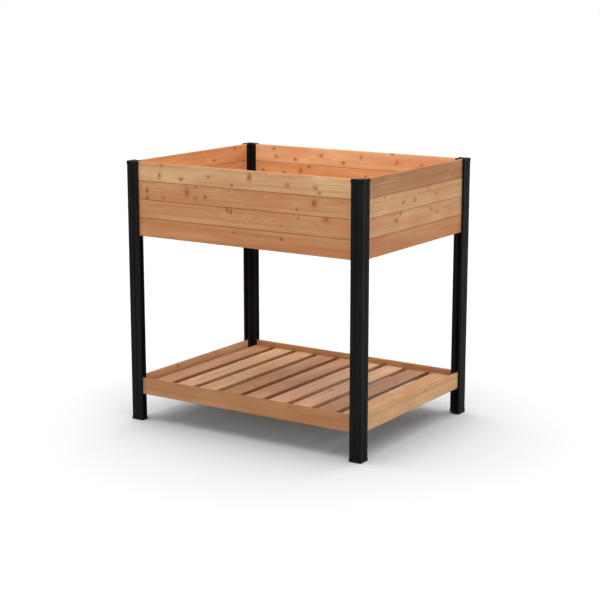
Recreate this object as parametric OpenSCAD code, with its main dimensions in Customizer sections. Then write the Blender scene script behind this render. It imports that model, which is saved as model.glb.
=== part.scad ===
// Raised planter on legs: four slotted corner posts carry a bed of stacked
// boards at the top and a slatted shelf near the ground.
// Front is -Y, width runs along X, the feet stand on z = 0 and the origin is
// the middle of the footprint. Corners and sides count anticlockwise seen from
// above: 0 front left, 1 front right, 2 back right, 3 back left, and
// 0 front, 1 right, 2 back, 3 left.

/* [Overall] */
// Width over the outer faces of the posts
overall_w = 940; // [760:1:1300]
// Depth over the outer faces of the posts
overall_d = 722; // [560:1:1000]
// Height from the ground to the top of the caps
overall_h = 914.4; // [760:0.1:1100]

/* [Bed boards] */
// Height of one board
board_h = 63.5; // [45:0.5:90]
// Thickness of every board, rail and slat that is cut from the same stock
board_t = 12.7; // [10:0.1:20]
// Boards stacked on each side
board_rows = 4; // [2:1:5]
// Joint between two stacked boards
board_joint = 0.3; // [0.1:0.1:1]
// Radius of the eased edges of boards and slats
edge_r = 2; // [0.5:0.1:3]

/* [Corner posts] */
// Width of each outer face, from the corner to the lip
post_reach = 43.5; // [40:0.5:60]
// Depth of the hollow lip that stands in front of the boards
lip_depth = 8.5; // [7:0.5:14]
// Wall thickness of the extrusion
post_wall = 2; // [1.6:0.1:2.6]
// Reach of the inner flange behind the boards, from the corner
flange_reach = 47; // [44:0.5:64]
// Distance from the corner to the middle of the face groove
groove_pos = 25; // [20:0.5:28]
// Width of the face groove
groove_w = 4; // [2:0.5:6]
// Depth of the face groove
groove_d = 2.6; // [1.5:0.1:4]
// Radius of the outer corner
corner_r = 1.8; // [0.5:0.1:4]
// Play between a board and each side of its slot
slot_play = 0.3; // [0.1:0.1:1]
// Play between a board's end and the bottom of its slot
end_play = 1; // [0.5:0.5:4]

/* [Caps and feet] */
// Thickness of a cap's top plate
cap_t = 2.4; // [1.6:0.1:5]
// Thickness left at the rim of that plate
rim_t = 1; // [0.8:0.1:1.4]
// Width of the bevel from the rim up to the middle
rim_bevel = 3.5; // [1:0.5:4]
// Height of the skirt round a cap
skirt_h = 9; // [6:0.5:30]
// Thickness of that skirt
skirt_t = 1; // [0.8:0.1:3]
// How far a cap laps over the board ends
cap_lap = 7; // [2:0.5:12]
// Height of a foot below the end of the post
foot_h = 12; // [10:0.5:30]
// How far a foot stands out from the post
foot_lap = 0.8; // [0.4:0.1:1.2]
// Bevel round the sole
sole_bevel = 2; // [1:0.5:5]
// Length of the plug that holds a cap or foot in the post
plug_h = 18; // [8:1:40]
// Wall of that plug
plug_wall = 2; // [1.2:0.1:3]
// Play of the plug in the post and of a skirt round it
plug_play = 0.2; // [0.1:0.05:0.5]

/* [Shelf] */
// Height of the underside of the shelf rails
rail_z = 95; // [60:1:260]
// Height of a shelf rail
rail_h = 57; // [45:0.5:90]
// Drop from the top of the rails to the top of the slats
slat_drop = 18; // [4:0.5:24]
// Width of a shelf slat
slat_w = 74; // [50:0.5:84]
// Number of shelf slats
slat_count = 9; // [7:1:9]

/* [Bed floor] */
// Number of joists under the floor
joist_count = 3; // [2:1:5]
// Width of a joist
joist_w = 34; // [25:1:50]
// Height of a joist
joist_h = 26; // [24:1:45]
// Distance from the side boards to the middle of the outer joists
joist_inset = 60; // [40:1:120]
// Number of floor slats
floor_count = 7; // [4:1:9]
// Drainage gap between two floor slats
floor_gap = 8; // [4:0.5:15]

/* [Cleats and screws] */
// Width of a cleat, measured away from the board it is screwed to
cleat_w = 19; // [17:0.5:20]
// Height of a cleat
cleat_h = 24; // [17:0.5:28]
// Height of the bed cleats above the lower edge of the boards
cleat_lift = 3.5; // [3:0.5:20]
// Radius of a screw's shank
screw_r = 2; // [1.5:0.1:2.5]
// Radius of a screw's head
head_r = 3.8; // [3:0.1:5]
// Height of a screw's head
head_h = 2.2; // [1.5:0.1:2.8]
// How deep a screw through a cleat bites into the wood behind it
screw_bite = 9.5; // [5:0.5:11]
// Length of the screws through the floor slats
floor_screw = 29; // [20:0.5:36]
// Length of the short screws that hold the board ends
short_screw = 11; // [7:0.5:11]
// Play round a screw in its hole
hole_play = 0.05; // [0.03:0.01:0.2]

/* [Hidden] */
$fn = 48;
eps = 0.01;
seat = 0.1;                                  // hairline between two pieces that rest on each other
clear = 0.7;                                 // free space left beside the posts' inner flanges

slot_w = board_t + 2 * slot_play;
slot_in = lip_depth + slot_w;                // inner side of the board slot, from the outer face
post_box = slot_in + post_wall;              // closed tube at the corner; its side ends the slots
face_in = lip_depth + slot_play;             // outer face of the boards
back_in = face_in + board_t;                 // inner face of the boards
screw_in = (post_box + flange_reach) / 2;    // screws through the inner flange
hole_r = screw_r + hole_play;

cap_out = skirt_t + plug_play;               // how far a cap stands out from the post
cap_square = post_box + cap_lap + cap_out;   // side of a cap's square over the tube
cap_arm = [post_reach + cap_out - post_box / 2, lip_depth + cap_out];
post_top = overall_h - cap_t;
bed_top = post_top - slot_play;
row_pitch = board_h + board_joint;
bed_z = bed_top - board_rows * row_pitch + board_joint;

slat_top = rail_z + rail_h - slat_drop;
shelf_cleat_z = slat_top - board_t - seat - cleat_h;
slat_gap = (overall_w - 2 * back_in - slat_count * slat_w) / (slat_count + 1);
slat_pitch = slat_w + slat_gap;

bed_cleat_z = bed_z + cleat_lift;
joist_z = bed_cleat_z + cleat_h + seat;
floor_z = joist_z + joist_h + seat;
joist_pitch = (overall_w - 2 * (back_in + joist_inset)) / (joist_count - 1);
floor_span = overall_d - 2 * (post_box + clear);
floor_pitch = (floor_span + floor_gap) / floor_count;

cleat_mid = back_in + seat + cleat_w / 2;    // middle of a cleat, from the outer face
cleat_len = overall_w - 2 * (flange_reach + clear);
side_screw = cleat_w + seat + screw_bite;    // length of the screws through a cleat's side
rising_screw = cleat_h + seat + screw_bite;  // length of the screws up through a cleat

corners = ["front_left", "front_right", "back_right", "back_left"];
sides = ["front", "right", "back", "left"];

function side_len(s) = s % 2 == 0 ? overall_w : overall_d;
function side_off(s) = side_len(s + 1) / 2;
function row_z(k) = bed_z + (k - 1) * row_pitch;
function slat_x(i) = (i - (slat_count + 1) / 2) * slat_pitch;
function joist_x(i) = (i - (joist_count + 1) / 2) * joist_pitch;
function floor_y(i) = (i - (floor_count + 1) / 2) * floor_pitch;

// Heights at which the posts' flanges are screwed to a board or a rail
board_mids = concat([rail_z + rail_h / 2], [for (k = [1 : board_rows]) row_z(k) + board_h / 2]);
// Places of the screws through the cleats, clear of the slats' and joists' own
shelf_cleat_xs = [for (g = [1 : 2 : floor(slat_count / 2)], e = [-1, 1]) e * (slat_count / 2 - g) * slat_pitch];
bed_cleat_xs = [for (i = [1 : joist_count - 1], q = [0.25, 0.75]) joist_x(i) + q * joist_pitch];

// ---- placing ----

// A corner's own frame: outer faces on x = 0 and y = 0, the post towards +x and +y
module at_corner(c) {
    x = (c == 0 || c == 3 ? -1 : 1) * overall_w / 2;
    y = (c < 2 ? -1 : 1) * overall_d / 2;
    translate([x, y, 0]) rotate(90 * c) children();
}

// A side's own frame: outer face on y = 0, the inside towards +y
module at_side(s) rotate(90 * s) translate([0, -side_off(s), 0]) children();

// Both of a corner's directions, by mirroring in its diagonal
module both_ways() for (swap = [0, 1]) mirror([swap, -swap, 0]) children();

// ---- shared forms ----

// Rectangle with rounded corners
module soft_rect(w, h, r) {
    translate([r, 0]) square([w - 2 * r, h]);
    translate([0, r]) square([w, h - 2 * r]);
    for (x = [r, w - r], y = [r, h - r]) translate([x, y]) circle(r);
}

// Board lying along x from -len/2, with four eased edges
module eased_board(len, depth, height) {
    translate([-len / 2, 0, 0]) rotate([90, 0, 90])
        linear_extrude(len) soft_rect(depth, height, edge_r);
}

// Screw whose head sits on z = 0 and whose shank points down
module screw(len) {
    cylinder(r = head_r, h = head_h);
    translate([0, 0, -len]) cylinder(r = screw_r, h = len);
}

// Hole for that screw, through to just past its tip
module screw_hole(len) {
    translate([0, 0, -len - 2 * eps]) cylinder(r = hole_r, h = len + 2 * eps + 1);
}

// ---- where the screws go ----

// Short screws at both ends of one board: head on the post's inner flange
module board_end_places(s, z) {
    at_side(s) for (e = [-1, 1])
        translate([e * (side_len(s) / 2 - screw_in), post_box, z]) rotate([-90, 0, 0]) children();
}

// Long screws through a cleat into the board behind it
module cleat_places(s, xs, z) {
    at_side(s) for (x = xs)
        translate([x, back_in + seat + cleat_w, z + cleat_h / 2]) rotate([-90, 0, 0]) children();
}

// Long screws up through a shelf cleat into a slat
module slat_end_places(i) {
    for (s = [0, 2]) at_side(s)
        translate([(s == 0 ? 1 : -1) * slat_x(i), cleat_mid, shelf_cleat_z]) mirror([0, 0, 1]) children();
}

// Long screws up through a bed cleat into a joist
module joist_end_places(i) {
    for (s = [0, 2]) at_side(s)
        translate([(s == 0 ? 1 : -1) * joist_x(i), cleat_mid, bed_cleat_z]) mirror([0, 0, 1]) children();
}

// Long screws down through a floor slat into a joist
module floor_places(i, k) translate([joist_x(i), floor_y(k), floor_z + board_t]) children();

// ---- corner posts ----

// Hollow lip in front of the boards, with rounded outer edges
module lip() translate([post_box / 2, 0]) soft_rect(post_reach - post_box / 2, lip_depth, 1);

// Inner flange behind the boards, with a rounded end
module flange() translate([post_box / 2, slot_in])
    soft_rect(flange_reach - post_box / 2, post_wall, post_wall / 2 - eps);

// Round-bottomed groove in an outer face
module groove() {
    r = min(groove_w / 2, groove_d);
    translate([groove_pos - groove_w / 2, -1]) square([groove_w, groove_d - r + 1]);
    for (x = [groove_pos - groove_w / 2 + r, groove_pos + groove_w / 2 - r])
        translate([x, groove_d - r]) circle(r);
}

// Hollow inside a lip, past the groove
module lip_hollow() {
    x0 = groove_pos + groove_w / 2 + post_wall;
    translate([x0, post_wall]) soft_rect(post_reach - post_wall - x0, lip_depth - 2 * post_wall, 0.8);
}

module post_section() {
    difference() {
        union() {
            soft_rect(post_box, post_box, corner_r);
            both_ways() {
                lip();
                flange();
            }
        }
        translate([post_wall, post_wall]) soft_rect(post_box - 2 * post_wall, post_box - 2 * post_wall, 1);
        both_ways() {
            groove();
            lip_hollow();
        }
    }
}

module post(c) color("#1d1e20") difference() {
    at_corner(c) translate([0, 0, foot_h]) linear_extrude(post_top - foot_h) post_section();
    at_corner(c) for (z = board_mids) both_ways()
        translate([screw_in, post_box, z]) rotate([-90, 0, 0]) screw_hole(post_wall + slot_play);
}

// ---- caps and feet ----

// Square plug that fits the post's tube
module plug() {
    w = post_box - 2 * (post_wall + plug_play);
    linear_extrude(plug_h) translate([post_wall + plug_play, post_wall + plug_play]) difference() {
        soft_rect(w, w, 1);
        translate([plug_wall, plug_wall]) square(w - 2 * plug_wall);
    }
}

// One form of a cap's top plate, thinner at its rim
module plate(w, h, r) hull() {
    linear_extrude(rim_t) soft_rect(w, h, r);
    translate([rim_bevel, rim_bevel, 0])
        linear_extrude(cap_t) soft_rect(w - 2 * rim_bevel, h - 2 * rim_bevel, 0.6);
}

// Top plate of a cap: a square over the tube and an arm over each lip
module cap_plate() {
    translate([-cap_out, -cap_out, 0]) plate(cap_square, cap_square, corner_r + cap_out);
    both_ways() translate([post_box / 2, -cap_out, 0]) plate(cap_arm[0], cap_arm[1], 1);
}

// Skirt that wraps the outer faces and the ends of the lips
module cap_skirt() difference() {
    union() {
        translate([-cap_out, -cap_out]) soft_rect(cap_square, cap_square, corner_r + cap_out);
        both_ways() translate([post_box / 2, -cap_out]) soft_rect(cap_arm[0], cap_arm[1], 1);
    }
    translate([-plug_play, -plug_play]) soft_rect(post_box + plug_play, post_box + plug_play, corner_r);
    translate([post_box / 2, post_box / 2]) square(post_reach);
    both_ways() translate([post_box / 2, -plug_play])
        square([post_reach + plug_play - post_box / 2, post_reach]);
}

module cap(c) color("#242527") at_corner(c) {
    translate([0, 0, post_top]) cap_plate();
    translate([0, 0, post_top - skirt_h]) linear_extrude(skirt_h + eps) cap_skirt();
    translate([0, 0, post_top - plug_h + eps]) plug();
}

// Plan of a foot at the post: the outline round its lips and flanges
module foot_plan() polygon([
    [0, 0], [post_reach, 0], [flange_reach, slot_in], [flange_reach, post_box],
    [post_box, flange_reach], [slot_in, flange_reach], [0, post_reach]]);

module foot(c) color("#242527") at_corner(c) {
    hull() {
        linear_extrude(foot_h) foot_plan();
        translate([0, 0, sole_bevel]) linear_extrude(foot_h - foot_lap - sole_bevel) offset(foot_lap) foot_plan();
    }
    translate([0, 0, foot_h - eps]) plug();
}

// ---- bed ----

module bed_board(s, k) color("#c0926a") difference() {
    at_side(s) translate([0, face_in, row_z(k)])
        eased_board(side_len(s) - 2 * (post_box + end_play), board_t, board_h);
    board_end_places(s, row_z(k) + board_h / 2) screw_hole(short_screw);
    if (s % 2 == 0 && k == 1) cleat_places(s, bed_cleat_xs, bed_cleat_z) screw_hole(side_screw);
}

module cleat(s, z) at_side(s) translate([-cleat_len / 2, back_in + seat, z]) cube([cleat_len, cleat_w, cleat_h]);

module bed_cleat(s) color("#b78a5e") difference() {
    cleat(s, bed_cleat_z);
    cleat_places(s, bed_cleat_xs, bed_cleat_z) screw_hole(side_screw);
    for (i = [1 : joist_count]) joist_end_places(i) screw_hole(rising_screw);
}

module bed_joist(i) color("#b78a5e") difference() {
    rotate(90) translate([0, -joist_x(i) - joist_w / 2, joist_z])
        eased_board(overall_d - 2 * (back_in + clear), joist_w, joist_h);
    joist_end_places(i) screw_hole(rising_screw);
    for (k = [1 : floor_count]) floor_places(i, k) screw_hole(floor_screw);
}

module bed_floor_slat(k) color("#c59a70") difference() {
    translate([0, floor_y(k) - (floor_pitch - floor_gap) / 2, floor_z])
        eased_board(overall_w - 2 * (post_box + clear), floor_pitch - floor_gap, board_t);
    for (i = [1 : joist_count]) floor_places(i, k) screw_hole(floor_screw);
}

// ---- shelf ----

module shelf_rail(s) color("#b4835a") difference() {
    at_side(s) translate([0, face_in, rail_z])
        eased_board(side_len(s) - 2 * (post_box + end_play), board_t, rail_h);
    board_end_places(s, rail_z + rail_h / 2) screw_hole(short_screw);
    if (s % 2 == 0) cleat_places(s, shelf_cleat_xs, shelf_cleat_z) screw_hole(side_screw);
}

module shelf_cleat(s) color("#b78a5e") difference() {
    cleat(s, shelf_cleat_z);
    cleat_places(s, shelf_cleat_xs, shelf_cleat_z) screw_hole(side_screw);
    for (i = [1 : slat_count]) slat_end_places(i) screw_hole(rising_screw);
}

module shelf_slat(i) color("#c59a70") difference() {
    rotate(90) translate([0, -slat_x(i) - slat_w / 2, slat_top - board_t])
        eased_board(overall_d - 2 * (post_box + clear), slat_w, board_t);
    slat_end_places(i) screw_hole(rising_screw);
}

// ---- screws ----

module board_screws() color("#1d1e20")
    for (s = [0 : 3], z = board_mids) board_end_places(s, z) screw(short_screw);

module cleat_screws() color("#8d8f92") for (s = [0, 2]) {
    cleat_places(s, bed_cleat_xs, bed_cleat_z) screw(side_screw);
    cleat_places(s, shelf_cleat_xs, shelf_cleat_z) screw(side_screw);
}

module slat_screws() color("#8d8f92") {
    for (i = [1 : slat_count]) slat_end_places(i) screw(rising_screw);
    for (i = [1 : joist_count], k = [1 : floor_count]) floor_places(i, k) screw(floor_screw);
}

module joist_screws() color("#8d8f92")
    for (i = [1 : joist_count]) joist_end_places(i) screw(rising_screw);

// ---- nodes ----

for (c = [0 : 3]) {
    post(c);
    cap(c);
    foot(c);
}
for (s = [0 : 3]) {
    for (k = [1 : board_rows]) bed_board(s, k);
    shelf_rail(s);
}
for (i = [1 : slat_count]) shelf_slat(i);
for (s = [0, 2]) {
    shelf_cleat(s);
    bed_cleat(s);
}
for (i = [1 : joist_count]) bed_joist(i);
for (k = [1 : floor_count]) bed_floor_slat(k);
board_screws();
cleat_screws();
slat_screws();
joist_screws();
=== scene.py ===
"""Looks of the raised planter on legs: cedar boards and slats, satin black
slotted posts, moulded caps and feet, and steel screws.

Everything is in metres in the frame's own axes: front -Y, width along X,
feet on z = 0. Boards are named SIDE_board_1 (lowest) to SIDE_board_4.
"""
import math
import random

import bmesh
import bpy
from mathutils import Matrix, Vector


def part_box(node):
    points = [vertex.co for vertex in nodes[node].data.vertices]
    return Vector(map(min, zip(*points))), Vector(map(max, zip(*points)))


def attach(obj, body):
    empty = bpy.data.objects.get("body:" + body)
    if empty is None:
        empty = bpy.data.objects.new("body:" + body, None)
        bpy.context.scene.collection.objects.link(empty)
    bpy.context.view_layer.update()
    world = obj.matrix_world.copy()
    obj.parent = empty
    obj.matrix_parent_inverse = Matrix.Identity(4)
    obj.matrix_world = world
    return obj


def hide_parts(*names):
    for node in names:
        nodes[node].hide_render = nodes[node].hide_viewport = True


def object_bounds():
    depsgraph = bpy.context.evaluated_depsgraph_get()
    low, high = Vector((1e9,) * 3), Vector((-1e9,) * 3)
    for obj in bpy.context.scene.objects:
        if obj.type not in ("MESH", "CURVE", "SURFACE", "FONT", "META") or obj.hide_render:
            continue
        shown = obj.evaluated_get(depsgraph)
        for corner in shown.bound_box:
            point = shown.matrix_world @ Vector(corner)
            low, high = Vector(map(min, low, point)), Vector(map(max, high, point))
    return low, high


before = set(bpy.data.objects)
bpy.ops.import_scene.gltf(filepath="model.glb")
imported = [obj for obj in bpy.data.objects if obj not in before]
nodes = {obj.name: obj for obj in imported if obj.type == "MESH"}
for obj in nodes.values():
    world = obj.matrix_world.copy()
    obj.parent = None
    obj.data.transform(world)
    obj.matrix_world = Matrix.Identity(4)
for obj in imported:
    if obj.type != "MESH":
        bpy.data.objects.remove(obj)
cad_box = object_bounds()

MM = 0.001

# ---- camera and picture ----

CAMERA_PLACE = (2.848, -4.3197, 1.5076)
CAMERA_YAW = math.radians(33.396)       # turned left from looking along +Y
CAMERA_PITCH = math.radians(11.882)     # looking down
CAMERA_LENS = 90.5                      # focal length in mm
CAMERA_SENSOR = 36                      # width of the sensor in mm
CAMERA_REACH = 200                      # metres, past the far corners of the floor

# ---- colours, as linear values ----


def srgb(red, green, blue):
    """A colour given as 0 to 255 on screen, as the linear RGBA that the shaders take."""
    def linear(value):
        value /= 255
        return value / 12.92 if value <= 0.04045 else ((value + 0.055) / 1.055) ** 2.4
    return (linear(red), linear(green), linear(blue), 1.0)


def shade(colour, factors):
    """The colour with its channels multiplied, for darker or warmer wood."""
    return tuple(c * f for c, f in zip(colour, factors)) + (1.0,)


# Clear cedar from pale to dark, and the pieces cut from it. Every other piece gets
# PLAIN_CEDAR with a small change.
PLAIN_CEDAR = srgb(195, 145, 105)
PLAIN_CHANGE = 0.10                     # how much lighter or darker it may be
HUE_CHANGE = 0.03                       # and how much each of its channels may differ
CEDARS = {
    srgb(230, 180, 140): ["shelf_slat_6", "shelf_slat_7"],
    srgb(225, 175, 125): ["front_board_4", "right_board_3", "shelf_rail_right"],
    srgb(220, 165, 115): ["right_board_2", "shelf_slat_9"],
    srgb(215, 165, 120): ["shelf_slat_2", "shelf_slat_3"],
    srgb(210, 150, 100): ["front_board_2", "front_board_3"],
    srgb(205, 150, 105): ["shelf_slat_5"],
    srgb(205, 140, 90): ["front_board_1", "right_board_1"],
    srgb(195, 140, 95): ["shelf_rail_back", "shelf_rail_left"],
    srgb(190, 135, 90): ["right_board_4", "shelf_rail_front", "shelf_slat_1", "shelf_slat_4"],
    srgb(185, 135, 95): ["shelf_slat_8"],
}
TONES = {name: tone for tone, names in CEDARS.items() for name in names}

# Faces that look into the bed are lighter and redder, partly the wood's own tone and partly painted
# bounce light off the bed's lit walls: the inner tone with a small change, or a tone of their own,
# which paints in how much light that face gets. The shelf rails that aren't named here are the same
# inside and outside.
INNER_TONE_AND_PAINTED_BOUNCE = srgb(225, 165, 115)
INNER_CHANGE = 0.06
# inner tones with painted light: lighter where the face is lit more, as the top back board
INNER_PAINTED_LIGHT_TONES = {
    "back_board_4": srgb(245, 190, 140),
    "back_board_3": srgb(240, 175, 120),
    "left_board_4": srgb(225, 160, 105),
    "shelf_rail_left": srgb(225, 175, 125),
    "shelf_rail_back": srgb(195, 140, 95),
}

# Knots of the boards that show most: how far they lie from the board's middle towards
# +X or +Y and towards +Z, and their radius, all in mm, and for some, how many times as
# tall they are.
KNOTS = {
    "front_board_4": [(-325, 25, 4.5), (-335, -10, 3.5, 2.2), (-245, -15, 5), (-130, 0, 4.5),
                      (-35, -20, 4.5), (35, 10, 6, 2), (185, -5, 6.5), (290, -5, 5), (305, -20, 4.5)],
    "front_board_3": [(-390, -25, 5), (-390, 0, 4, 2), (-220, 5, 6, 2.2), (-185, -10, 5),
                      (-185, 25, 5, 0.6), (-145, -5, 5), (-320, -20, 3.5), (285, 10, 6, 1.5),
                      (220, -15, 3.5)],
    "front_board_2": [(-55, 25, 4, 2), (-40, 20, 4, 2), (330, 25, 7.5), (225, 20, 3), (160, -10, 2.5)],
    "front_board_1": [(160, 10, 4), (-30, 15, 3)],
    "right_board_4": [],
    "right_board_3": [(-90, -5, 4.5), (-15, -5, 5.5), (75, 25, 3.5, 1.4), (130, 0, 3, 1.5),
                      (-210, 25, 3)],
    "right_board_2": [(-280, 30, 4), (-135, 5, 5.5), (-110, 25, 4, 1.4), (95, 15, 3.5),
                      (140, 0, 3.5)],
    "right_board_1": [(-135, 5, 2.5)],
    "back_board_4": [(-330, -10, 5), (-245, -15, 5), (-130, 5, 5.5), (-35, -15, 5), (40, 10, 5),
                     (190, 0, 6), (290, -5, 5), (-340, 20, 5), (170, 30, 4)],
    "back_board_3": [(-185, 25, 6, 0.8), (-220, 10, 5, 2), (-295, -5, 5), (-390, 0, 4), (60, 5, 4)],
    "left_board_4": [(110, -10, 4), (240, 25, 5)],
    "shelf_rail_front": [],
    "shelf_rail_right": [(80, 20, 4.5)],
    "shelf_rail_left": [(-125, 20, 5)],
}

# ---- small helpers for shader nodes ----


def connect(tree, made, inputs):
    """Links or sets inputs of a node, given by name or number."""
    for key, value in inputs.items():
        if isinstance(value, bpy.types.NodeSocket):
            tree.links.new(value, made.inputs[key])
        else:
            made.inputs[key].default_value = value


def node(tree, kind, inputs=None, **settings):
    """A shader node with its settings, and its inputs linked or set."""
    made = tree.nodes.new("ShaderNode" + kind)
    for key, value in settings.items():
        setattr(made, key, value)
    connect(tree, made, inputs or {})
    return made


def maths(tree, operation, *values, clamp=False):
    """The result of a sum with numbers."""
    return node(tree, "Math", dict(enumerate(values)), operation=operation, use_clamp=clamp).outputs[0]


def plus(tree, a, b):
    return maths(tree, "ADD", a, b)


def times(tree, a, b):
    return maths(tree, "MULTIPLY", a, b)


def vector(tree, operation, *values):
    """The result of a sum with vectors, a number where it is a length or a dot product."""
    found = node(tree, "VectorMath", dict(enumerate(values)), operation=operation)
    return found.outputs["Value" if operation in ("LENGTH", "DOT_PRODUCT") else "Vector"]


def scaled(tree, place, factors):
    return vector(tree, "MULTIPLY", place, factors)


def split(tree, place):
    """The x, y and z of a place."""
    return node(tree, "SeparateXYZ", {0: place}).outputs


def joined(tree, *parts):
    """The place with this x, y and z; those left out at the end are 0."""
    return node(tree, "CombineXYZ", dict(enumerate(parts))).outputs[0]


def noise(tree, place, scale=1.0, detail=2.0, roughness=0.5):
    """Noise from 0 to 1, the finer the larger the scale is."""
    inputs = {"Vector": place, "Scale": scale, "Detail": detail, "Roughness": roughness}
    return node(tree, "TexNoise", inputs).outputs["Fac"]


def between(tree, value, low, high, start=0.0, end=1.0):
    """The value mapped smoothly from low..high to start..end."""
    inputs = {"Value": value, 1: low, 2: high, 3: start, 4: end}
    return node(tree, "MapRange", inputs, interpolation_type="SMOOTHSTEP").outputs[0]


def blended(tree, factor, a, b, blend="MIX"):
    """Colour a where the factor is 0, and b, or a times b to MULTIPLY, where it is 1."""
    inputs = {0: factor, 6: a, 7: b}
    return node(tree, "Mix", inputs, data_type="RGBA", blend_type=blend, clamp_factor=True).outputs[2]


def tinted(tree, colour, factors):
    """The colour with its channels multiplied."""
    return blended(tree, 1.0, colour, factors, "MULTIPLY")


def new_material(name):
    """An empty node material, its tree and its shader, which is already linked to the output."""
    made = bpy.data.materials.new(name)
    made.use_nodes = True
    tree = made.node_tree
    tree.nodes.clear()
    shader = node(tree, "BsdfPrincipled")
    node(tree, "OutputMaterial", {"Surface": shader.outputs[0]})
    return made, tree, shader


def dress(piece, material):
    """The piece shows this material all over."""
    piece.data.materials.clear()
    piece.data.materials.append(material)


# ---- cedar ----

NOISE_SPAN = (0.3, 0.7)                 # most of a noise lies between these values
RING = 3.4 * MM                         # distance between two growth rings
WAVE_SHIFT = 22 * MM                    # how far slow waves shift the rings,
RIPPLE_SHIFT = 2.2 * MM                 # how far short ones do
KNOT_SHIFT = 11 * MM                    # and how far a knot does at its middle,
PUSH_POWER = 1.5                        # less with this power of the distance in knot radii,
PUSH_RATE = -0.45                       # at this rate
PITH_DRIFT = (0.012, 0.03)              # drift of the pith across and into the board, per metre
PITH_SIDE = 50 * MM                     # the most that the pith lies to one side of the middle
PITH_DEPTH = (15 * MM, 70 * MM)         # the least and most that it lies behind or in front
SEED_SPREAD = 40.0                      # the most that a board is moved in the noises, each way

# How fine each noise is along the grain, across the face and into the board, per metre
WAVES = (2.2, 9, 9)
RIPPLES = (9, 60, 60)
STREAKS = (1.6, 75, 75)
FIBRES = (45, 1500, 1500)
PATCHES = (4.5, 20, 20)
KNOT_FADING = (13, 13, 13)
KNOT_OUTLINE = (160, 160, 60)
EDGE_SHADE_AND_WEAR_NOISE = (60, 200, 200)

# What multiplies the board's tone in each kind of wood, and what multiplies the colour
# along the long edges, as painted shade in the joints and some wear, and on end grain
LATE_WOOD = (0.66, 0.55, 0.45, 1)
PINK_WOOD = (0.98, 0.83, 0.78, 1)
PALE_WOOD = (1.14, 1.20, 1.24, 1)
KNOT_HALO = (0.80, 0.61, 0.47, 1)
KNOT_BODY = (0.59, 0.41, 0.27, 1)
KNOT_RINGS = (0.45, 0.29, 0.18, 1)
KNOT_EYE = (0.24, 0.14, 0.10, 1)
EDGE_SHADE_AND_WEAR = (0.60, 0.48, 0.38, 1)
END_GRAIN = (0.62, 0.52, 0.44, 1)

# How much of each shows, from 0 to 1
LATE_SHARE = 0.42
STREAK_SHARE = 0.42
FIBRE_SHARE = 0.18
HALO_SHARE = 0.8
EDGE_SHARE = 0.55
END_SHARE = 0.65

EARLY_ROUGH = 0.66                      # roughness of early wood
LATE_ROUGH = 0.52                       # and of late wood
LATE_HEIGHT = 0.5                       # how far late wood stands up in the bump,
FIBRE_HEIGHT = 0.6                      # and how far fibres do
KNOT_WAVES = 24                         # rings in a knot, as radians to a knot radius
KNOT_HEIGHT = 0.8                       # a knot's height over its length along the grain
KNOT_RADII = (2.5, 5.5)                 # least and most of a random knot, in mm
NO_KNOT = 9.0                           # distance to the nearest knot where none is near, in radii
# the long edges darken as painted shade in the joints between boards, with some wear:
EDGE_START = 3.4 * MM                   # a face begins to darken this far from its rim,
EDGE_FULL = 0.8 * MM                    # is darkest this far from it,
EDGE_STRAY = 1.2 * MM                   # with up to this much unevenness,
INNER_EDGE = 0.3                        # and only this share of that shows on inner faces
END_FACING = (0.6, 0.9)                 # a face turns to end grain between these cosines to the grain
INNER_FACING = (0.3, 0.8)               # and to an inner face between these cosines to inward


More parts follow.
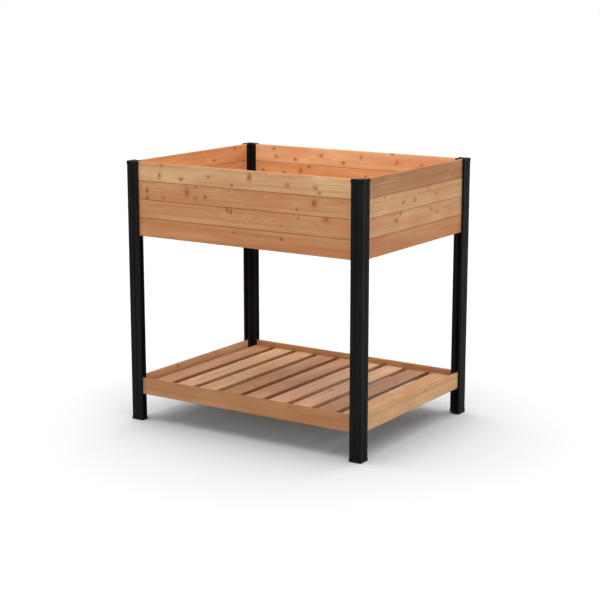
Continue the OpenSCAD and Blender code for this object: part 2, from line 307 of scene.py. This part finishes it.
def cedar_group():
    """The cedar itself: place is (along the grain, across the face, into the board)
    from the board's middle, seed is added to it in the noises, pith is where the
    tree's middle lies, knot is the distance to the nearest knot in knot radii, tone is
    the clear wood's colour, end is 1 on end grain, and edge is 1 along the board's
    two long edges."""
    tree = bpy.data.node_groups.new("cedar", "ShaderNodeTree")
    sockets = {
        "INPUT": {"Place": "Vector", "Seed": "Vector", "Pith": "Vector", "Knot": "Float",
                  "Tone": "Color", "End": "Float", "Edge": "Float"},
        "OUTPUT": {"Color": "Color", "Roughness": "Float", "Height": "Float"},
    }
    for side, kinds in sockets.items():
        for name, kind in kinds.items():
            tree.interface.new_socket(name, in_out=side, socket_type="NodeSocket" + kind)
    given = tree.nodes.new("NodeGroupInput").outputs
    place = given["Place"]
    knot = given["Knot"]
    tone = given["Tone"]
    spot = vector(tree, "ADD", place, given["Seed"])

    # growth rings round the pith, bent by waves and pushed aside by knots
    along = split(tree, place)[0]
    drift = joined(tree, 0.0, *(times(tree, along, slope) for slope in PITH_DRIFT))
    across = vector(tree, "SUBTRACT", scaled(tree, place, (0, 1, 1)), given["Pith"])
    radius = vector(tree, "LENGTH", vector(tree, "ADD", across, drift))
    wave = noise(tree, scaled(tree, spot, WAVES))
    ripple = noise(tree, scaled(tree, spot, RIPPLES))
    push = maths(tree, "EXPONENT", times(tree, maths(tree, "POWER", knot, PUSH_POWER), PUSH_RATE))
    for bend, shift in ((wave, WAVE_SHIFT), (ripple, RIPPLE_SHIFT), (push, KNOT_SHIFT)):
        radius = plus(tree, radius, times(tree, bend, shift))

    # late wood darkens slowly through each ring and ends sharply, more in some years
    ring = maths(tree, "DIVIDE", radius, RING)
    step = maths(tree, "FRACT", ring)
    late = times(tree, between(tree, step, 0.35, 0.9), between(tree, step, 1.0, 0.93))
    year = noise(tree, joined(tree, ring), detail=1)
    late = times(tree, late, between(tree, year, 0.25, 0.75, 0.35, 1.0))

    # streaks and fibres along the grain, and slow changes of tone
    streak = noise(tree, scaled(tree, spot, STREAKS), detail=3, roughness=0.6)
    fibre = noise(tree, scaled(tree, spot, FIBRES), roughness=0.6)
    patch = noise(tree, scaled(tree, spot, PATCHES))
    dark = times(tree, late, LATE_SHARE)
    dark = plus(tree, dark, between(tree, streak, 0.42, 0.75, 0.0, STREAK_SHARE))
    dark = maths(tree, "ADD", dark, between(tree, fibre, 0.5, 0.85, 0.0, FIBRE_SHARE), clamp=True)
    colour = blended(tree, between(tree, patch, 0.46, 0.68), tone, tinted(tree, tone, PINK_WOOD))
    colour = blended(tree, between(tree, patch, 0.5, 0.30), colour, tinted(tree, tone, PALE_WOOD))
    colour = blended(tree, dark, colour, tinted(tree, tone, LATE_WOOD))

    # knots: a darker halo, a brown body with its own rings, and a dark eye; some are fainter
    faint = noise(tree, scaled(tree, spot, KNOT_FADING), detail=0)
    faint = between(tree, faint, 0.35, 0.65, 0.5, 0.9)
    rings = maths(tree, "SINE", times(tree, knot, KNOT_WAVES))
    body = blended(tree, between(tree, rings, -1, 1, 0.0, 0.5),
                   tinted(tree, tone, KNOT_BODY), tinted(tree, tone, KNOT_RINGS))
    halo = times(tree, between(tree, knot, 2.6, 0.8), HALO_SHARE)
    colour = blended(tree, halo, colour, tinted(tree, tone, KNOT_HALO))
    colour = blended(tree, times(tree, between(tree, knot, 1.25, 0.7), faint), colour, body)
    eye = times(tree, between(tree, knot, 0.42, 0.12), faint)
    colour = blended(tree, eye, colour, tinted(tree, tone, KNOT_EYE))

    # painted joint shade and some wear along the long edges, and end grain, which is darker
    colour = blended(tree, times(tree, given["Edge"], EDGE_SHARE), colour,
                     tinted(tree, colour, EDGE_SHADE_AND_WEAR))
    colour = blended(tree, times(tree, given["End"], END_SHARE), colour,
                     tinted(tree, colour, END_GRAIN))

    rough = between(tree, late, 0, 1, EARLY_ROUGH, LATE_ROUGH)
    height = plus(tree, times(tree, late, LATE_HEIGHT), times(tree, fibre, FIBRE_HEIGHT))
    connect(tree, tree.nodes.new("NodeGroupOutput"),
            {"Color": colour, "Roughness": rough, "Height": height})
    return tree


CEDAR = cedar_group()


def knot_distance(tree, place, knots):
    """Distance from place to the nearest knot, in radii of that knot."""
    if not knots:
        return NO_KNOT
    along, across, _ = split(tree, place)
    flat = joined(tree, times(tree, along, KNOT_HEIGHT), across)
    nearest = NO_KNOT
    for x, y, radius, *taller in knots:
        away = vector(tree, "SUBTRACT", flat, (x * KNOT_HEIGHT * MM, y * MM, 0))
        away = vector(tree, "LENGTH", scaled(tree, away, (1, 1 / taller[0] if taller else 1, 1)))
        away = maths(tree, "DIVIDE", away, radius * MM)
        nearest = maths(tree, "MINIMUM", away, nearest)
    outline = noise(tree, scaled(tree, place, KNOT_OUTLINE), detail=1)
    return times(tree, nearest, between(tree, outline, *NOISE_SPAN, 0.8, 1.2))


def random_knots(dice, length, width, count):
    """A few knots scattered over a board of that length and width in mm, as in KNOTS."""
    return [(dice.uniform(-0.47, 0.47) * length, dice.uniform(-0.4, 0.4) * width,
             dice.uniform(*KNOT_RADII)) for _ in range(count)]


def near_one(change, most):
    """Factors for red, green and blue: all changed alike by up to the most, and each by
    up to HUE_CHANGE more. change is three numbers from -1 to 1."""
    return [1 + most * change[0] + HUE_CHANGE * c for c in change]


def cedar(name, axes, knot_count, inward=None):
    """The cedar of one piece. axes are the frame's axes that run along, across and into
    it, and inward is the direction of the face that looks into the bed or the shelf."""
    dice = random.Random("cedar " + name)
    low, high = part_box(name)
    length, width, _ = (high[a] - low[a] for a in axes)
    made, tree, shader = new_material("cedar_" + name)
    where = node(tree, "TexCoord").outputs
    centred = split(tree, vector(tree, "SUBTRACT", where["Object"], (low + high) / 2))
    place = joined(tree, *(centred[a] for a in axes))

    # random knots are drawn for every piece, so that its later draws don't depend on KNOTS
    knots = random_knots(dice, length / MM, width / MM, knot_count)
    knots = KNOTS.get(name, knots)
    change = [dice.uniform(-1, 1) for _ in range(3)]
    tone = TONES.get(name, shade(PLAIN_CEDAR, near_one(change, PLAIN_CHANGE)))

    lengthwise = [0.0, 0.0, 0.0]
    lengthwise[axes[0]] = 1.0
    end = vector(tree, "DOT_PRODUCT", where["Normal"], lengthwise)
    end = between(tree, maths(tree, "ABSOLUTE", end), *END_FACING)
    # edge is painted shade in the joints between boards, with some wear, along the two long edges
    rim = maths(tree, "SUBTRACT", width / 2, maths(tree, "ABSOLUTE", split(tree, place)[1]))
    stray = times(tree, noise(tree, scaled(tree, place, EDGE_SHADE_AND_WEAR_NOISE)), EDGE_STRAY)
    edge = between(tree, plus(tree, rim, stray), EDGE_START, EDGE_FULL)
    if inward is not None:
        # inner faces: their own tone, partly painted bounce light, and less painted edge shade and
        # wear
        inside = tone if "rail" in name else shade(INNER_TONE_AND_PAINTED_BOUNCE, near_one(change, INNER_CHANGE))
        turned = vector(tree, "DOT_PRODUCT", where["Normal"], inward)
        tone = blended(tree, between(tree, turned, *INNER_FACING), tone, INNER_PAINTED_LIGHT_TONES.get(name, inside))
        edge = times(tree, edge, between(tree, turned, *INNER_FACING, 1.0, INNER_EDGE))

    seed = [dice.uniform(-SEED_SPREAD, SEED_SPREAD) for _ in range(3)]
    pith = (0, dice.uniform(-PITH_SIDE, PITH_SIDE), dice.choice([-1, 1]) * dice.uniform(*PITH_DEPTH))
    inputs = {"Place": place, "Seed": seed, "Pith": pith, "Tone": tone, "End": end, "Edge": edge,
              "Knot": knot_distance(tree, place, knots)}
    wood = node(tree, "Group", inputs, node_tree=CEDAR).outputs
    grain = node(tree, "Bump", {"Height": wood["Height"], "Strength": 0.35, "Distance": 0.25 * MM})
    connect(tree, shader, {"Base Color": wood["Color"], "Roughness": wood["Roughness"],
                           "Normal": grain.outputs[0], "Specular IOR Level": 0.35})
    return made


ALONG_X = (0, 2, 1)                     # upright boards at the front and back
ALONG_Y = (1, 2, 0)                     # upright boards at the sides
FLAT_X = (0, 1, 2)                      # flat pieces that run across
FLAT_Y = (1, 0, 2)                      # flat pieces that run from front to back

# How the boards and the rail of each side lie, and which way their inner faces look
SIDES = {"front": (ALONG_X, (0, 1, 0)), "right": (ALONG_Y, (-1, 0, 0)),
         "back": (ALONG_X, (0, -1, 0)), "left": (ALONG_Y, (1, 0, 0))}
BOARD_KNOTS = 4
RAIL_KNOTS = 2
# How the other pieces lie, and how many knots each has
LAID = {"shelf_slat": (FLAT_Y, 2), "bed_floor_slat": (FLAT_X, 5), "bed_joist": (FLAT_Y, 3),
        "shelf_cleat": (ALONG_X, 3), "bed_cleat": (ALONG_X, 3)}

for name, piece in nodes.items():
    for side, (axes, inward) in SIDES.items():
        if name.startswith(side + "_board"):
            dress(piece, cedar(name, axes, BOARD_KNOTS, inward))
        elif name == "shelf_rail_" + side:
            dress(piece, cedar(name, axes, RAIL_KNOTS, inward))
    for start, (axes, knot_count) in LAID.items():
        if name.startswith(start):
            dress(piece, cedar(name, axes, knot_count))

# ---- black posts, caps and feet ----

# How fine their noises are, per metre
COAT_PEEL = 900
COAT_CLOUDS = (14, 14, 4)
PLASTIC_GRAIN = 1600
PLASTIC_CLOUDS = 30


def powder_coat():
    """Satin black powder coat: a fine orange peel, a little uneven in gloss."""
    made, tree, shader = new_material("post_powder_coat")
    place = node(tree, "TexCoord").outputs["Object"]
    peel = noise(tree, place, COAT_PEEL)
    cloud = noise(tree, scaled(tree, place, COAT_CLOUDS), detail=3)
    colour = blended(tree, between(tree, cloud, *NOISE_SPAN), srgb(27, 26, 25), srgb(34, 33, 32))
    bump = node(tree, "Bump", {"Height": peel, "Strength": 0.25, "Distance": 0.06 * MM})
    connect(tree, shader, {"Base Color": colour, "Normal": bump.outputs[0],
                           "Roughness": between(tree, cloud, 0.25, 0.75, 0.38, 0.48),
                           "Specular IOR Level": 0.03})
    return made


def moulded_black():
    """Black plastic with a fine spark-eroded grain."""
    made, tree, shader = new_material("moulded_black")
    place = node(tree, "TexCoord").outputs["Object"]
    grain = noise(tree, place, PLASTIC_GRAIN, detail=3, roughness=0.6)
    cloud = noise(tree, place, PLASTIC_CLOUDS)
    colour = blended(tree, between(tree, cloud, *NOISE_SPAN), srgb(21, 20, 19), srgb(28, 27, 26))
    bump = node(tree, "Bump", {"Height": grain, "Strength": 0.4, "Distance": 0.08 * MM})
    connect(tree, shader, {"Base Color": colour, "Normal": bump.outputs[0],
                           "Roughness": between(tree, grain, *NOISE_SPAN, 0.45, 0.55),
                           "Specular IOR Level": 0.05})
    return made


POST_BLACK = powder_coat()
CAP_BLACK = moulded_black()
for name, piece in nodes.items():
    if name.startswith("post_"):
        dress(piece, POST_BLACK)
    elif name.startswith(("cap_", "foot_")):
        dress(piece, CAP_BLACK)

# ---- screws ----

SCREW_SIDES = 20                        # flats round a screw
SCREW_SHARP = math.radians(35)          # faces that meet at more than this keep a sharp edge
WELD = 0.01 * MM                        # points closer than this are one
BLOOM = 700                             # how fine the bloom of their plating is, per metre


def plating(name, colours, roughness, constants):
    """A finish on screw steel, with a faint bloom in its colour and gloss, and the
    shader's values that are the same all over."""
    made, tree, shader = new_material(name)
    bloom = noise(tree, node(tree, "TexCoord").outputs["Object"], BLOOM)
    colour = blended(tree, between(tree, bloom, *NOISE_SPAN), *colours)
    rough = between(tree, bloom, *NOISE_SPAN, *roughness)
    connect(tree, shader, {"Base Color": colour, "Roughness": rough, **constants})
    return made


def islands(mesh):
    """The vertices of each separate solid of a mesh, as lists of points."""
    shape = bmesh.new()
    shape.from_mesh(mesh)
    bmesh.ops.remove_doubles(shape, verts=shape.verts, dist=WELD)
    left = set(shape.verts)
    found = []
    while left:
        grown = [left.pop()]
        for vertex in grown:
            for edge in vertex.link_edges:
                other = edge.other_vert(vertex)
                if other in left:
                    left.remove(other)
                    grown.append(other)
        found.append([v.co.copy() for v in grown])
    shape.free()
    return found


def screw_place(points):
    """Where a screw is and which way it points: the matrix that puts z = 0 under its
    head and +Z out through the head, with the head's radius and height, and its length."""
    low = Vector([min(p[a] for p in points) for a in range(3)])
    high = Vector([max(p[a] for p in points) for a in range(3)])
    middle = (low + high) / 2
    along = max(range(3), key=lambda a: high[a] - low[a])
    across = [a for a in range(3) if a != along]
    half = (high[along] - low[along]) / 2
    radius = max(high[a] - low[a] for a in across) / 2
    # most of its points lie at the head's end, and the widest of them on the head's rim
    out = 1 if sum(p[along] > middle[along] for p in points) * 2 > len(points) else -1
    rim = [p for p in points if math.hypot(*((p - middle)[a] for a in across)) > 0.95 * radius]
    seat = min(out * (p - middle)[along] for p in rim)
    axis = Vector([0, 0, 0])
    axis[along] = out
    turn = axis.to_track_quat("Z", "Y").to_matrix().to_4x4()
    place = Matrix.Translation(middle + axis * seat) @ turn
    return place, radius, half - seat, half + seat


def lathe(profile, sides):
    """A closed solid of revolution round z, from (radius, height) points, top to bottom."""
    shape = bmesh.new()
    rings = []
    for radius, height in profile:
        if radius == 0:
            rings.append([shape.verts.new((0, 0, height))])
            continue
        angles = [2 * math.pi * i / sides for i in range(sides)]
        rings.append([shape.verts.new((radius * math.cos(a), radius * math.sin(a), height))
                      for a in angles])
    for upper, lower in zip(rings, rings[1:]):
        for i in range(sides):
            j = (i + 1) % sides
            corners = [upper[i % len(upper)], lower[i % len(lower)],
                       lower[j % len(lower)], upper[j % len(upper)]]
            shape.faces.new(list(dict.fromkeys(corners)))
    return shape


def add_mesh(name, shape):
    """A new object of this bmesh, in the scene."""
    mesh = bpy.data.meshes.new(name)
    shape.to_mesh(mesh)
    shape.free()
    made = bpy.data.objects.new(name, mesh)
    bpy.context.scene.collection.objects.link(made)
    return made


def recess_cutter(radius, height, degrees):
    """One bar of the cross recess, shorter at the bottom, turned by this angle. Its
    middle lies at the top of the head, so half of its height cuts in."""
    length = 1.15 * radius
    width = 0.24 * radius
    tall = 1.3 * height
    shape = bmesh.new()
    bmesh.ops.create_cube(shape, size=1)
    for v in shape.verts:
        taper = 1.0 if v.co.z > 0 else 0.45
        v.co = Vector((v.co.x * length * taper, v.co.y * width, v.co.z * tall))
    turn = Matrix.Rotation(math.radians(degrees), 4, "Z")
    bmesh.ops.transform(shape, verts=shape.verts, matrix=Matrix.Translation((0, 0, height)) @ turn)
    return add_mesh("screw_recess", shape)


def screw_mesh(radius, height, length):
    """A pan-head screw with a cross recess, seated at z = 0 and pointing down."""
    shank = 0.5 * radius
    point = length - 2 * shank
    shoulder = 0.42 * height
    crown = 0.58 * height
    dome = [(radius * math.sin(a), shoulder + crown * math.cos(a))
            for a in (math.radians(degrees) for degrees in (22, 42, 60, 76, 90))]
    profile = [(0, height), *dome, (radius, 0.12 * height), (0.94 * radius, 0), (shank, 0),
               (shank, -point), (0, -length)]
    blank = add_mesh("screw_blank", lathe(profile, SCREW_SIDES))
    cutters = [recess_cutter(radius, height, degrees) for degrees in (0, 90)]
    for cutter in cutters:
        cut = blank.modifiers.new("recess", "BOOLEAN")
        cut.object = cutter
        cut.solver = "EXACT"
    bpy.context.view_layer.update()
    mesh = bpy.data.meshes.new_from_object(blank.evaluated_get(bpy.context.evaluated_depsgraph_get()))
    for used in [blank] + cutters:
        bpy.data.objects.remove(used)
    return mesh


def detailed_screws(name, material):
    """One piece with a detailed screw in place of each plain one of the CAD group."""
    dice = random.Random("turn of " + name)
    places = [screw_place(points) for points in islands(nodes[name].data)]
    made_for = {}
    shape = bmesh.new()
    for place, radius, height, length in sorted(places, key=lambda p: tuple(p[0].translation)):
        key = round(length / MM, 1)
        if key not in made_for:
            made_for[key] = screw_mesh(radius, height, length)
        copy = made_for[key].copy()
        copy.transform(place @ Matrix.Rotation(dice.uniform(0, math.pi / 2), 4, "Z"))
        shape.from_mesh(copy)
        bpy.data.meshes.remove(copy)
    made = add_mesh(name + "_detailed", shape)
    made.data.shade_smooth()
    made.data.set_sharp_from_angle(angle=SCREW_SHARP)
    dress(made, material)
    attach(made, "root")
    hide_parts(name)


BLACK_OXIDE = plating("black_oxide", (srgb(14, 14, 15), srgb(24, 24, 25)), (0.3, 0.45),
                      {"Specular IOR Level": 0.25})
ZINC = plating("zinc", (srgb(176, 178, 180), srgb(148, 150, 152)), (0.28, 0.42), {"Metallic": 1.0})
detailed_screws("board_screws", BLACK_OXIDE)
for name in ("cleat_screws", "slat_screws", "joist_screws"):
    detailed_screws(name, ZINC)

# ---- floor, light and camera ----

FLOOR_HALF = 60.0                       # from the middle of the floor to each side
FLOOR_SEEN = (0.708, 0.72, 0.732, 1)    # the floor as the camera sees it, white where no shadow falls
# the next colour is a darker, cooler shadow painted on the floor under the object
FLOOR_PAINTED_SHADOW = (0.45, 0.50, 0.53, 1)     # the same, deep under the object
FLOOR_GIVES = (0.22, 0.25, 0.28, 1)     # the floor as it lights the object, cool against the warm wood
# the painted shadow fades in between these two distances from the edge of the object's box
PAINTED_SHADOW_START = 0.2                       # FLOOR_PAINTED_SHADOW begins this far outside the object's box
PAINTED_SHADOW_FULL = -0.25                      # and is reached this far inside it


def background_ray(tree):
    """1 for rays that show the background: seen by the camera, in a gloss or through glass."""
    path = node(tree, "LightPath").outputs
    reflected = plus(tree, path["Is Glossy Ray"], path["Is Transmission Ray"])
    return maths(tree, "ADD", path["Is Camera Ray"], reflected, clamp=True)


def pale_floor():
    """White floor that keeps the object's soft shadow, with a darker, cooler shadow painted under the
    object.
    """
    made, tree, shader = new_material("floor_white")
    place = node(tree, "TexCoord").outputs["Object"]
    half = (cad_box[1] - cad_box[0]) / 2
    outside = vector(tree, "SUBTRACT", vector(tree, "ABSOLUTE", place), (half.x, half.y, 0))
    outside = split(tree, outside)
    # painted shadow: 1 deep under the object, fading to 0 just outside its box
    under = times(tree, between(tree, outside[0], PAINTED_SHADOW_START, PAINTED_SHADOW_FULL),
                  between(tree, outside[1], PAINTED_SHADOW_START, PAINTED_SHADOW_FULL))
    seen = blended(tree, under, FLOOR_SEEN, FLOOR_PAINTED_SHADOW)
    colour = blended(tree, background_ray(tree), FLOOR_GIVES, seen)
    connect(tree, shader, {"Base Color": colour, "Roughness": 0.9, "Specular IOR Level": 0.1})
    return made


shape = bmesh.new()
bmesh.ops.create_grid(shape, x_segments=1, y_segments=1, size=FLOOR_HALF)
floor = add_mesh("floor", shape)
floor.location.z = cad_box[0].z
dress(floor, pale_floor())

# Soft light, as strengths: one overhead, and one from each side halfway up and low down
OVERHEAD = 2.65
HALFWAY = {(0, -1, 0): 0.25, (1, 0, 0): 0.0, (0, 1, 0): 1.85, (-1, 0, 0): 1.65}
LOW = {(0, -1, 0): 1.75, (1, 0, 0): 1.60, (0, 1, 0): 0.0, (-1, 0, 0): 0.0}
# Where each passes into the next one up, as the sine of the height over the horizon
LOW_TO_HALFWAY = (0.30, 0.55)
HALFWAY_TO_OVERHEAD = (0.70, 0.90)
WHITE = (1, 1, 1, 1)

world = bpy.data.worlds.new("studio")
bpy.context.scene.world = world
world.use_nodes = True
sky = world.node_tree
sky.nodes.clear()
way = node(sky, "TexCoord").outputs["Generated"]
up = split(sky, way)[2]
level = vector(sky, "NORMALIZE", scaled(sky, way, (1, 1, 0)))


def from_sides(strengths):
    """The strengths of the four sides, melting into each other round the horizon."""
    total = 0.0
    for side, strength in strengths.items():
        share = maths(sky, "MAXIMUM", vector(sky, "DOT_PRODUCT", level, side), 0.0)
        total = plus(sky, total, times(sky, maths(sky, "POWER", share, 2.0), strength))
    return total


past_low = between(sky, up, *LOW_TO_HALFWAY)
past_halfway = between(sky, up, *HALFWAY_TO_OVERHEAD)
middle = maths(sky, "SUBTRACT", past_low, past_halfway)
light = times(sky, from_sides(LOW), maths(sky, "SUBTRACT", 1.0, past_low))
light = plus(sky, light, times(sky, from_sides(HALFWAY), middle))
light = plus(sky, light, times(sky, past_halfway, OVERHEAD))
dome = node(sky, "Background", {"Color": WHITE, "Strength": light}).outputs[0]
backdrop = node(sky, "Background", {"Color": WHITE, "Strength": 1.0}).outputs[0]
both = node(sky, "MixShader", {0: background_ray(sky), 1: dome, 2: backdrop}).outputs[0]
node(sky, "OutputWorld", {"Surface": both})

camera = bpy.data.cameras.new("camera")
camera.lens = CAMERA_LENS
camera.sensor_width = CAMERA_SENSOR
camera.clip_end = CAMERA_REACH
eye = bpy.data.objects.new("camera", camera)
eye.location = CAMERA_PLACE
eye.rotation_euler = (math.pi / 2 - CAMERA_PITCH, 0, CAMERA_YAW)
bpy.context.scene.collection.objects.link(eye)
bpy.context.scene.camera = eye
bpy.context.scene.view_settings.view_transform = "Standard"
